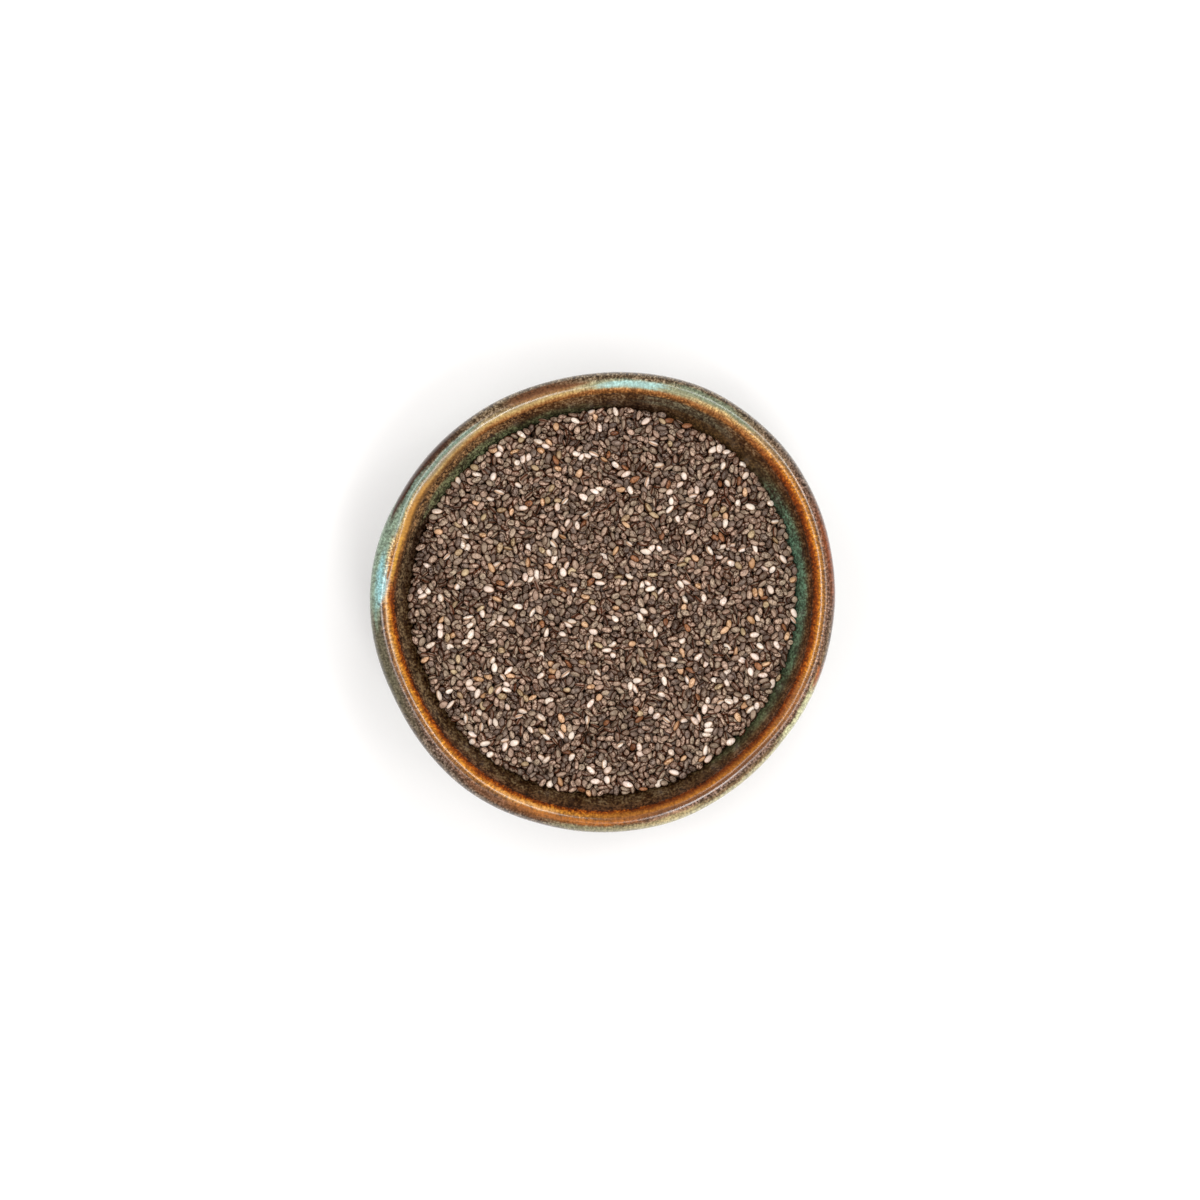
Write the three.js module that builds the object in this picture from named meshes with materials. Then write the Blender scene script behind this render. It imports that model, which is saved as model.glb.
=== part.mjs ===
// A small hand-thrown stoneware bowl, filled with chia seeds to a little below its rim.
// Two pieces: the bowl with its foot ring, and the heap of seeds as one solid that fills the bowl.
// Units are millimetres, +Z is up, and the origin is under the middle of the bowl, on the surface it stands on.
import * as THREE from 'three';

// Driving dimensions of the bowl.
const bowlHeight = 44;
const rimRadius = 50.2; // outside of the lip, averaged round the bowl
const wallThickness = 5; // at the lip
const lipHeight = 2.7; // how far the round of the lip reaches down from its crest
const floorThickness = 5.5; // under the middle of the seeds

// The foot ring, which the bowl stands on.
const footRadius = 25.5;
const footWidth = 4;
const footHeight = 4.2;
const footRecess = 1.8; // hollow under the bowl, inside the foot ring
const footFlare = 1.2; // slope of the ring's inner side
const footEdge = 0.6; // softened outer edge of the ring

// The heap of seeds.
const fillDepth = 9; // from the crest of the rim down to the edge of the heap
const heapRise = 1.3; // how much higher the seeds lie in the middle
const levelEdge = 8; // width of the band at the edge that stays free of ripples
const clearance = 0.3; // between the seeds and the glaze

// How finely the round shapes are cut into flats.
const segmentsRound = 84;
const outsideSteps = 9;
const lipSteps = 9;
const insideSteps = 12;
const bedSteps = 9;
const heapRings = 13;

// A hand-thrown outline isn't a true circle: each wave adds height * cos(count * angle - peak), with peak in degrees.
const outlineWaves = [
  { count: 2, height: 0.77, peak: 80 },
  { count: 3, height: 0.46, peak: 133 },
  { count: 4, height: 0.12, peak: -76 },
  { count: 6, height: 0.12, peak: -23 },
  { count: 7, height: 0.11, peak: 179 },
];
const rimWaves = [
  { count: 2, height: 0.35, peak: 20 },
  { count: 3, height: 0.2, peak: 200 },
];
// The top of the heap rolls gently: each ripple runs along its own direction, in degrees.
const heapRipples = [
  { height: 0.3, length: 31, direction: 35, phase: 0.4 },
  { height: 0.24, length: 19, direction: 120, phase: 1.9 },
  { height: 0.15, length: 11, direction: 223, phase: 4.2 },
];

const { clamp, degToRad, smoothstep } = THREE.MathUtils;

function waveAt(waves, angle) {
  return waves.reduce((sum, wave) => sum + wave.height * Math.cos(wave.count * angle - degToRad(wave.peak)), 0);
}

function rippleAt(x, y) {
  return heapRipples.reduce((sum, ripple) => {
    const direction = degToRad(ripple.direction);
    const along = x * Math.cos(direction) + y * Math.sin(direction);
    return sum + ripple.height * Math.sin((2 * Math.PI * along) / ripple.length + ripple.phase);
  }, 0);
}

// The foot ring's section, from the middle of the recess out to where the belly starts.
function footSection() {
  const recessRadius = footRadius - footWidth;
  return [
    new THREE.Vector2(0, footRecess),
    new THREE.Vector2(recessRadius - footFlare, footRecess),
    new THREE.Vector2(recessRadius, 0),
    new THREE.Vector2(footRadius - footEdge, 0),
    new THREE.Vector2(footRadius, footEdge),
    new THREE.Vector2(footRadius - footEdge / 2, footHeight - footEdge),
  ];
}

// The outside of the bowl, from the top of the foot to the lip: a full belly under a steep upper wall.
function outsideWall() {
  return new THREE.CubicBezierCurve(
    new THREE.Vector2(footRadius + footEdge, footHeight),
    new THREE.Vector2(rimRadius * 0.8, bowlHeight * 0.15),
    new THREE.Vector2(rimRadius * 0.97, bowlHeight * 0.5),
    new THREE.Vector2(rimRadius, bowlHeight - lipHeight),
  );
}

// The glazed inside, from the lip down to the middle of the floor.
function insideWall() {
  const insideRadius = rimRadius - wallThickness;
  const floorLevel = footRecess + floorThickness;
  return new THREE.CubicBezierCurve(
    new THREE.Vector2(insideRadius, bowlHeight - lipHeight),
    new THREE.Vector2(insideRadius * 0.9, bowlHeight * 0.77),
    new THREE.Vector2(insideRadius * 0.885, floorLevel),
    new THREE.Vector2(0, floorLevel),
  );
}

// The round of the lip, over the crest from outside to inside, without its two ends.
function lipSection() {
  const halfWall = wallThickness / 2;
  const section = [];
  for (let step = 1; step < lipSteps; step += 1) {
    const turn = (Math.PI * step) / lipSteps;
    const radius = rimRadius - halfWall + halfWall * Math.cos(turn);
    section.push(new THREE.Vector2(radius, bowlHeight - lipHeight + lipHeight * Math.sin(turn)));
  }
  return section;
}

// Where the edge of the heap meets the inside wall, as a place from 0 to 1 on its curve.
function fillPlace(wall) {
  let low = 0;
  let high = 1;
  while (high - low > 1e-4) {
    const middle = (low + high) / 2;
    if (wall.getPoint(middle).y > bowlHeight - fillDepth) low = middle;
    else high = middle;
  }
  return low;
}

// The seeds' side and underside, from the middle of the floor up to the edge: the wall moved in by the clearance.
function bedSection() {
  const wall = insideWall();
  const edge = fillPlace(wall);
  const section = [];
  for (let step = bedSteps; step >= 0; step -= 1) {
    const place = THREE.MathUtils.lerp(edge, 1, step / bedSteps);
    const tangent = wall.getTangent(place);
    const inwards = new THREE.Vector2(tangent.y, -tangent.x).multiplyScalar(clearance);
    section.push(wall.getPoint(place).add(inwards));
  }
  section[0].x = 0;
  return section;
}

// Half of the heap's section: up the bed, then in over the mounded top to the middle.
function heapSection() {
  const section = bedSection();
  const edge = section[bedSteps];
  for (let ring = 1; ring <= heapRings; ring += 1) {
    const share = 1 - ring / heapRings;
    section.push(new THREE.Vector2(edge.x * share, edge.y + heapRise * (1 - share ** 2)));
  }
  return section;
}

// Turns a section into a closed solid of revolution with +Z up.
function turned(section) {
  return new THREE.LatheGeometry(section, segmentsRound).rotateX(Math.PI / 2);
}

// Moves each vertex of a geometry to where change(point) puts it.
function reshaped(geometry, change) {
  const position = geometry.getAttribute('position');
  const point = new THREE.Vector3();
  for (let i = 0; i < position.count; i += 1) {
    change(point.fromBufferAttribute(position, i));
    position.setXYZ(i, point.x, point.y, point.z);
  }
  return geometry;
}

// Bends a turned solid to the hand-thrown outline, more towards the rim, so that the foot stays round and flat.
function throwByHand(point) {
  const radius = Math.hypot(point.x, point.y);
  if (radius < clearance) return;
  const angle = Math.atan2(point.y, point.x);
  const reach = clamp(point.z / bowlHeight, 0, 1) * (radius / rimRadius);
  const stretch = 1 + (waveAt(outlineWaves, angle) * reach) / radius;
  point.set(point.x * stretch, point.y * stretch, point.z + waveAt(rimWaves, angle) * reach ** 3);
}

// Rolls the top of the heap, fading out towards its edge. The bed stays as it is.
function rollTop(point) {
  if (point.z < bowlHeight - fillDepth) return;
  const edgeRadius = insideWall().getPoint(fillPlace(insideWall())).x - clearance;
  const fade = 1 - smoothstep(Math.hypot(point.x, point.y), edgeRadius - levelEdge, edgeRadius);
  point.z += rippleAt(point.x, point.y) * fade;
}

function makeBowl() {
  const section = [...footSection(), ...outsideWall().getPoints(outsideSteps), ...lipSection()];
  section.push(...insideWall().getPoints(insideSteps));
  const glaze = new THREE.MeshStandardMaterial({ color: 0x5f4a2f, roughness: 0.18, metalness: 0 });
  const mesh = new THREE.Mesh(reshaped(turned(section), throwByHand), glaze);
  mesh.name = 'bowl';
  return mesh;
}

function makeSeeds() {
  const rolled = reshaped(turned(heapSection()), rollTop);
  const seedCoat = new THREE.MeshStandardMaterial({ color: 0x5e4d42, roughness: 0.5, metalness: 0 });
  const mesh = new THREE.Mesh(reshaped(rolled, throwByHand), seedCoat);
  mesh.name = 'chia_seeds';
  return mesh;
}

const bowlOfSeeds = new THREE.Group();
bowlOfSeeds.add(makeBowl(), makeSeeds());

// The origin goes under the middle of the finished outline.
const middle = new THREE.Box3().setFromObject(bowlOfSeeds).getCenter(new THREE.Vector3());
bowlOfSeeds.position.set(-middle.x, -middle.y, 0);

export default bowlOfSeeds;
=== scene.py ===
import math

import bmesh
import bpy
import numpy as np
from mathutils import Matrix, Vector, noise
from mathutils.geometry import interpolate_bezier


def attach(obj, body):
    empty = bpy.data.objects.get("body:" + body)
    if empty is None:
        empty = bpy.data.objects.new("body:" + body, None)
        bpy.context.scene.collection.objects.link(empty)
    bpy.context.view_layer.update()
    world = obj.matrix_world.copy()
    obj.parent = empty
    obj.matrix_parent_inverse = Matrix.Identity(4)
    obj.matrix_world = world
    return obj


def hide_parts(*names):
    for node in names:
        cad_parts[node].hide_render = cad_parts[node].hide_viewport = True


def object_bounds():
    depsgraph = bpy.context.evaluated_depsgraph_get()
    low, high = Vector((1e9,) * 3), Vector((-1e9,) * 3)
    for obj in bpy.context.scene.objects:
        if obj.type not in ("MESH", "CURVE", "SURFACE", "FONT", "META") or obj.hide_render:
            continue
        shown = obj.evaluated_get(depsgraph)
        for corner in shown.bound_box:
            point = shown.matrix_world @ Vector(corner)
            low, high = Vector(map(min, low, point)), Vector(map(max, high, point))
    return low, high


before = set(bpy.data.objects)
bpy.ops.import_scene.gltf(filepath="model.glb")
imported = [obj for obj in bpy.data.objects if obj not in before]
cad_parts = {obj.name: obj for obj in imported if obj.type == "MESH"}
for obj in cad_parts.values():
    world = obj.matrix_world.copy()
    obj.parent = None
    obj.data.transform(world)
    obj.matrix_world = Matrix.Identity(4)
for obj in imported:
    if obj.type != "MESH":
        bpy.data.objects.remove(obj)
cadLow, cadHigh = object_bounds()
mm = 0.001
collection = bpy.context.scene.collection
print("frame loaded, CAD box", [round(v / mm, 1) for v in cadHigh - cadLow], "mm")


# camera, floor and lights

camera = {
    "lens": 85,
    "sensor": 36,
    "span": 259.05 * mm,  # what the picture spans, at the height of the rim
    "aim": (-0.51 * mm, 0.46 * mm),  # the bowl stands a little to the right of the middle and below it
}
studio = {
    "floorSize": 6.0,
    "floorColour": (0.925, 0.902, 0.893),
    "floorRoughness": 0.8,
    "floorSheen": 0.1,
    "world": 0.57,
    "mirrored": 0.22,  # the dim studio that gloss reflects between the softboxes
    "boxHeight": 0.85,
    "boxAway": 0.36,  # sideways from over the bowl
    "boxes": (
        # bearing in degrees, power in watts, width and length in metres
        (-50, 1.35, 0.26, 0.45),
        (-65, 1.25, 0.22, 0.15),
        (0, 1.2, 0.19, 0.45),
        (50, 2.1, 0.19, 0.45),
        (155, 1.5, 0.19, 0.45),
        (205, 1.3, 0.19, 0.45),
    ),
}


def addCamera():
    data = bpy.data.cameras.new("overhead")
    data.lens = camera["lens"]
    data.sensor_width = camera["sensor"]
    holder = bpy.data.objects.new("overhead", data)
    above = camera["span"] / camera["sensor"] * camera["lens"]
    holder.location = (*camera["aim"], cadHigh.z + above)
    collection.objects.link(holder)
    bpy.context.scene.camera = holder


def addSoftbox(bearing, power, width, length):
    data = bpy.data.lights.new("softbox", "AREA")
    data.shape = "RECTANGLE"
    data.size = width
    data.size_y = length
    data.energy = power
    holder = bpy.data.objects.new("softbox", data)
    turn, away = math.radians(bearing), studio["boxAway"]
    holder.location = (away * math.cos(turn), away * math.sin(turn), studio["boxHeight"])
    holder.rotation_euler = (0, math.atan2(away, studio["boxHeight"]), turn)
    collection.objects.link(holder)


def addFloor():
    bm = bmesh.new()
    bmesh.ops.create_grid(bm, x_segments=1, y_segments=1, size=studio["floorSize"] / 2)
    floor = meshObject(bm, "floor")
    paper = bpy.data.materials.new("whitePaper")
    paper.use_nodes = True
    shader = paper.node_tree.nodes["Principled BSDF"]
    shader.inputs["Base Color"].default_value = (*studio["floorColour"], 1)
    shader.inputs["Roughness"].default_value = studio["floorRoughness"]
    shader.inputs["Specular IOR Level"].default_value = studio["floorSheen"]
    floor.data.materials.append(paper)


def addWorld():
    world = bpy.data.worlds.new("whiteRoom")
    world.use_nodes = True
    tree = world.node_tree
    back = tree.nodes["Background"]
    back.inputs["Color"].default_value = (1, 1, 1, 1)
    strength = tree.nodes.new("ShaderNodeMapRange")
    strength.inputs["To Min"].default_value = studio["world"]
    strength.inputs["To Max"].default_value = studio["mirrored"]
    rays = tree.nodes.new("ShaderNodeLightPath")
    tree.links.new(rays.outputs["Is Glossy Ray"], strength.inputs["Value"])
    tree.links.new(strength.outputs["Result"], back.inputs["Strength"])
    bpy.context.scene.world = world


def meshObject(bm, name):
    data = bpy.data.meshes.new(name)
    bm.to_mesh(data)
    bm.free()
    data.shade_smooth()
    piece = bpy.data.objects.new(name, data)
    collection.objects.link(piece)
    return piece


bpy.context.scene.view_settings.view_transform = "Standard"
addCamera()
for box in studio["boxes"]:
    addSoftbox(*box)
addFloor()
addWorld()
print("camera, floor and lights are in place")


# shader helpers

def srgb(code):
    # a colour as it looks on a screen, such as "b06821", as the linear value that nodes take
    parts = [int(code[i:i + 2], 16) / 255 for i in (0, 2, 4)]
    return (*[p / 12.92 if p <= 0.04045 else ((p + 0.055) / 1.055) ** 2.4 for p in parts], 1)


def wire(tree, socket, value):
    if isinstance(value, bpy.types.NodeSocket):
        tree.links.new(value, socket)
    elif value is not None:
        socket.default_value = value


def calc(tree, operation, a, b=None, c=None):
    node = tree.nodes.new("ShaderNodeMath")
    node.operation = operation
    for socket, value in zip(node.inputs, (a, b, c)):
        wire(tree, socket, value)
    return node.outputs[0]


def vectorCalc(tree, operation, a, b=None):
    node = tree.nodes.new("ShaderNodeVectorMath")
    node.operation = operation
    wire(tree, node.inputs[0], a)
    wire(tree, node.inputs[1], b)
    return node.outputs[0]


def ramp(tree, value, low, high, toLow=0.0, toHigh=1.0):
    # eases from toLow to toHigh as the value goes from low to high
    node = tree.nodes.new("ShaderNodeMapRange")
    node.interpolation_type = "SMOOTHSTEP"
    given = {"Value": value, "From Min": low, "From Max": high, "To Min": toLow, "To Max": toHigh}
    for name, wanted in given.items():
        wire(tree, node.inputs[name], wanted)
    return node.outputs["Result"]


def blendColour(tree, factor, a, b, way="MIX"):
    node = tree.nodes.new("ShaderNodeMix")
    node.data_type = "RGBA"
    node.blend_type = way
    wire(tree, node.inputs[0], factor)
    wire(tree, node.inputs[6], a)
    wire(tree, node.inputs[7], b)
    return node.outputs[2]


def gradient(tree, value, stops):
    # a colour for each place given as (place, colour), blended evenly in between
    node = tree.nodes.new("ShaderNodeValToRGB")
    first, last = stops[0][0], stops[-1][0]
    points = node.color_ramp.elements
    while len(points) < len(stops):
        points.new(0.5)
    for point, (place, code) in zip(points, stops):
        point.position = (place - first) / (last - first)
        point.color = srgb(code)
    scaled = tree.nodes.new("ShaderNodeMapRange")
    for name, given in (("Value", value), ("From Min", first), ("From Max", last)):
        wire(tree, scaled.inputs[name], given)
    wire(tree, node.inputs[0], scaled.outputs["Result"])
    return node.outputs["Color"]


def attribute(tree, name, output="Fac"):
    node = tree.nodes.new("ShaderNodeAttribute")
    node.attribute_name = name
    return node.outputs[output]


def noiseAt(tree, vector, scale, detail=2.0, roughness=0.5):
    node = tree.nodes.new("ShaderNodeTexNoise")
    wire(tree, node.inputs["Vector"], vector)
    wire(tree, node.inputs["Scale"], scale)
    wire(tree, node.inputs["Detail"], detail)
    wire(tree, node.inputs["Roughness"], roughness)
    return node.outputs["Fac"]


def combine(tree, x, y, z):
    node = tree.nodes.new("ShaderNodeCombineXYZ")
    for socket, value in zip(node.inputs, (x, y, z)):
        wire(tree, socket, value)
    return node.outputs[0]


def emptyMaterial(name):
    material = bpy.data.materials.new(name)
    material.use_nodes = True
    tree = material.node_tree
    return material, tree, tree.nodes["Principled BSDF"]


def newGroup(name, inputs, output):
    # each input is a number with the value it starts from, or None for a vector. The output is a number
    group = bpy.data.node_groups.new(name, "ShaderNodeTree")
    for label, value in inputs.items():
        kind = "NodeSocketVector" if value is None else "NodeSocketFloat"
        socket = group.interface.new_socket(name=label, in_out="INPUT", socket_type=kind)
        if value is not None:
            socket.default_value = value
    group.interface.new_socket(name=output, in_out="OUTPUT", socket_type="NodeSocketFloat")
    return group, group.nodes.new("NodeGroupInput").outputs, group.nodes.new("NodeGroupOutput").inputs[0]


def useGroup(tree, group, **values):
    node = tree.nodes.new("ShaderNodeGroup")
    node.node_tree = group
    for name, value in values.items():
        wire(tree, node.inputs[name], value)
    return node.outputs


# the bowl's shape

bowlShape = {
    "height": 44.0,
    "rimRadius": 50.2,
    "wall": 5.0,
    "lipHeight": 2.7,
    "floorThickness": 5.5,
    "footRadius": 25.5,
    "footWidth": 4.0,
    "footHeight": 4.2,
    "recess": 1.8,
    "footFlare": 1.2,
    "footEdge": 0.6,
    "footWaist": (0.3, 0.5),  # how far the ring's side draws in, in shares of its edge, and how high up
    # what pulls the curves of the belly and the inside, in shares of the radius and the height
    "bellyPulls": ((0.8, 0.15), (0.97, 0.5)),
    "insidePull": (0.9, 0.77),
    "floorPull": 0.885,
    # count, height in mm and peak in degrees
    "lobes": ((2, 0.77, 80), (3, 0.46, 133), (4, 0.12, -76), (6, 0.12, -23), (7, 0.11, 179)),
    "rimWaves": ((2, 0.35, 20), (3, 0.2, 200)),
    # where the lip leans inwards: by so many mm at its crest, and the bearings in degrees where this
    # starts, is full, fades and ends
    "leans": ((0.65, 148, 166, 205, 268), (0.5, 152, 163, 169, 182), (0.3, 272, 290, 312, 330)),
    "leanAcross": (-9.0, -1.5, 0.6, 4.0),  # and the same in mm past the crest, from the inside out
    "widest": (0.22, 0.94),  # how far the belly stands out past the rim, and its share of the lobes
    "axisRadius": 0.3,  # nearer the axis than this the lobes don't reach
    "poleRadius": 0.5,  # nearer than this a point of the map counts as on the axis
    # how finely the shape is cut
    "around": 288,
    "recessSteps": 8,
    "bellySteps": 84,
    "lipSteps": 24,
    "insideSteps": 56,
    "outlineSteps": 1440,
    # the potter's finger rings and the slight unevenness, in mm
    "ringPitch": 4.7,
    "ringDepth": 0.11,
    "ringStart": 4.0,
    "ringFade": 6.0,
    "unevenness": 0.16,
    "unevenLength": 0.07,  # waves per mm
    "unevenFade": 10.0,
    "glazeEnd": 46.5,  # how far past the crest the glaze stops, in mm along the outside
    "glazeRoll": 0.3,  # the thick edge where it stops, its place above the end and its width
    "rollPlace": 0.9,
    "rollWidth": 1.4,
    "glazeDrips": ((2.1, 4.0, 1.6), (9, 8.0, 0.5)),  # how closely they stand, a start and the height in mm
}


def waveAt(waves, angle):
    return sum(height * math.cos(count * angle - math.radians(peak)) for count, height, peak in waves)


def curve(start, pullOne, pullTwo, end, steps):
    points = interpolate_bezier(*(Vector((*p, 0)) for p in (start, pullOne, pullTwo, end)), steps + 1)
    return [(p.x, p.y) for p in points]


def insideCurve(steps):
    s = bowlShape
    inner, level = s["rimRadius"] - s["wall"], s["recess"] + s["floorThickness"]
    pullOut, pullUp = s["insidePull"]
    return curve((inner, s["height"] - s["lipHeight"]), (inner * pullOut, s["height"] * pullUp),
                 (inner * s["floorPull"], level), (0, level), steps)


def bowlSection():
    # radius and height in mm, from the middle of the underside over the lip to the middle of the floor
    s = bowlShape
    rim, height, foot, edge = s["rimRadius"], s["height"], s["footRadius"], s["footEdge"]
    recessRadius = foot - s["footWidth"]
    drawnIn, waistHeight = s["footWaist"]
    section = [(recessRadius * k / s["recessSteps"], s["recess"]) for k in range(s["recessSteps"])]
    section += [(recessRadius - s["footFlare"], s["recess"]), (recessRadius, 0)]
    section += [(foot - edge, 0), (foot, edge), (foot - edge * drawnIn, s["footHeight"] * waistHeight)]
    pulls = [(rim * out, height * up) for out, up in s["bellyPulls"]]
    lipStart = height - s["lipHeight"]
    section += curve((foot + edge, s["footHeight"]), *pulls, (rim, lipStart), s["bellySteps"])
    half = s["wall"] / 2
    for step in range(1, s["lipSteps"]):
        turn = math.pi * step / s["lipSteps"]
        section.append((rim - half + half * math.cos(turn), height - s["lipHeight"] * (1 - math.sin(turn))))
    return section + insideCurve(s["insideSteps"])


def handThrown(x, y, z, angle):
    # the uneven outline, which is strongest at the rim
    s = bowlShape
    radius = math.hypot(x, y)
    reach = min(max(z / s["height"], 0), 1) * radius / s["rimRadius"]
    stretch = 1 + waveAt(s["lobes"], angle) * reach / max(radius, s["axisRadius"])
    return x * stretch, y * stretch, z + waveAt(s["rimWaves"], angle) * reach ** 3


def ease(value, low, high):
    share = min(max((value - low) / (high - low), 0), 1)
    return share * share * (3 - 2 * share)


def plateau(value, starts, full, fades, ends):
    # 1 from full to fades, easing to 0 at the two ends
    return ease(value, starts, full) * ease(-value, -ends, -fades)


def leanAt(angle, out):
    bearing = math.degrees(angle) % 360
    most = sum(size * plateau(bearing, *reach) for size, *reach in bowlShape["leans"])
    return most * plateau(out, *bowlShape["leanAcross"])


def outlineMiddle():
    # the CAD model has its origin under the middle of its box
    s = bowlShape
    turns = [2 * math.pi * k / s["outlineSteps"] for k in range(s["outlineSteps"])]
    past, share = s["widest"]
    outer = [s["rimRadius"] + past + waveAt(s["lobes"], turn) * share for turn in turns]
    xs = [radius * math.cos(turn) for radius, turn in zip(outer, turns)]
    ys = [radius * math.sin(turn) for radius, turn in zip(outer, turns)]
    return (min(xs) + max(xs)) / 2, (min(ys) + max(ys)) / 2


middle = outlineMiddle()


def glazeLine(angle):
    # where the glaze stops, in mm past the crest
    drips = sum(height * noise.noise(Vector((math.cos(angle) * close, math.sin(angle) * close, start)))
                for close, start, height in bowlShape["glazeDrips"])
    return bowlShape["glazeEnd"] + drips


def spinSection(section):
    # turns the section round, and keeps for each point how far past the crest it lies along the section
    lengths = [0.0]
    for a, b in zip(section, section[1:]):
        lengths.append(lengths[-1] + math.dist(a, b))
    crest = max(range(len(section)), key=lambda i: section[i][1])
    bm = bmesh.new()
    across = bm.verts.layers.float.new("across")
    chain = []
    for (radius, height), length in zip(section, lengths):
        vert = bm.verts.new((radius, 0, height))
        vert[across] = lengths[crest] - length
        chain.append(vert)
    edges = [bm.edges.new(pair) for pair in zip(chain, chain[1:])]
    bmesh.ops.spin(bm, geom=chain + edges, axis=(0, 0, 1), cent=(0, 0, 0), dvec=(0, 0, 0),
                   angle=2 * math.pi, steps=bowlShape["around"], use_merge=True, use_duplicate=False)
    bmesh.ops.remove_doubles(bm, verts=bm.verts, dist=1e-4)
    bmesh.ops.recalc_face_normals(bm, faces=bm.faces)
    bm.normal_update()
    return bm


def standOff(place, angle, out, past):
    # how far the surface stands off the plain turned one: finger rings, the glaze's thick end, unevenness
    s = bowlShape
    push = 0.0
    if out > s["ringStart"]:
        ringed = min((out - s["ringStart"]) / s["ringFade"], 1)
        ringed *= min(max((s["glazeEnd"] - out) / s["ringFade"], 0), 1)
        push += s["ringDepth"] * ringed * (math.sin(2 * math.pi * place.z / s["ringPitch"] + angle) - 1)
        if place.z > s["footHeight"] and past < 0:
            push += s["glazeRoll"] * max(0.0, 1 - abs(past + s["rollPlace"]) / s["rollWidth"])
    wave = noise.noise(place * s["unevenLength"]) * s["unevenness"]
    return push + wave * min(place.z / s["unevenFade"], 1)


def makeBowl():
    bm = spinSection(bowlSection())
    pastGlaze = bm.verts.layers.float.new("pastGlaze")
    across = bm.verts.layers.float["across"]
    angles = {vert: math.atan2(vert.co.y, vert.co.x) for vert in bm.verts}
    for vert, angle in angles.items():
        out = vert[across]
        vert[pastGlaze] = out - glazeLine(angle)
        x, y, z = vert.co + vert.normal * standOff(vert.co, angle, out, vert[pastGlaze])
        inwards = 1 - leanAt(angle, out) / max(math.hypot(x, y), 1)
        x, y, z = handThrown(x * inwards, y * inwards, z, angle)
        vert.co = ((x - middle[0]) * mm, (y - middle[1]) * mm, z * mm)
    addBowlMap(bm, angles, across)
    piece = meshObject(bm, "glazed_bowl")
    piece.data.materials.append(glazeMaterial())
    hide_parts("bowl")
    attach(piece, "root")


def addBowlMap(bm, angles, across):
    # unrolls the bowl: round it along U, over its section along V
    uv = bm.loops.layers.uv.new("OFBake")
    reach = [vert[across] for vert in bm.verts]
    low, high = min(reach), max(reach)
    for face in bm.faces:
        turns = [angles[loop.vert] / (2 * math.pi) % 1 for loop in face.loops]
        onAxis = [math.hypot(*loop.vert.co.xy) < bowlShape["poleRadius"] * mm for loop in face.loops]
        known = [turn for turn, pole in zip(turns, onAxis) if not pole]
        if max(known) - min(known) > 0.5:  # a face that crosses the seam
            turns = [turn + 1 if turn < 0.5 else turn for turn in turns]
            known = [turn + 1 if turn < 0.5 else turn for turn in known]
        for loop, turn, pole in zip(face.loops, turns, onAxis):
            turn = sum(known) / len(known) if pole else turn
            loop[uv].uv = (min(turn, 1.0), (loop.vert[across] - low) / (high - low))


# glazes

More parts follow.
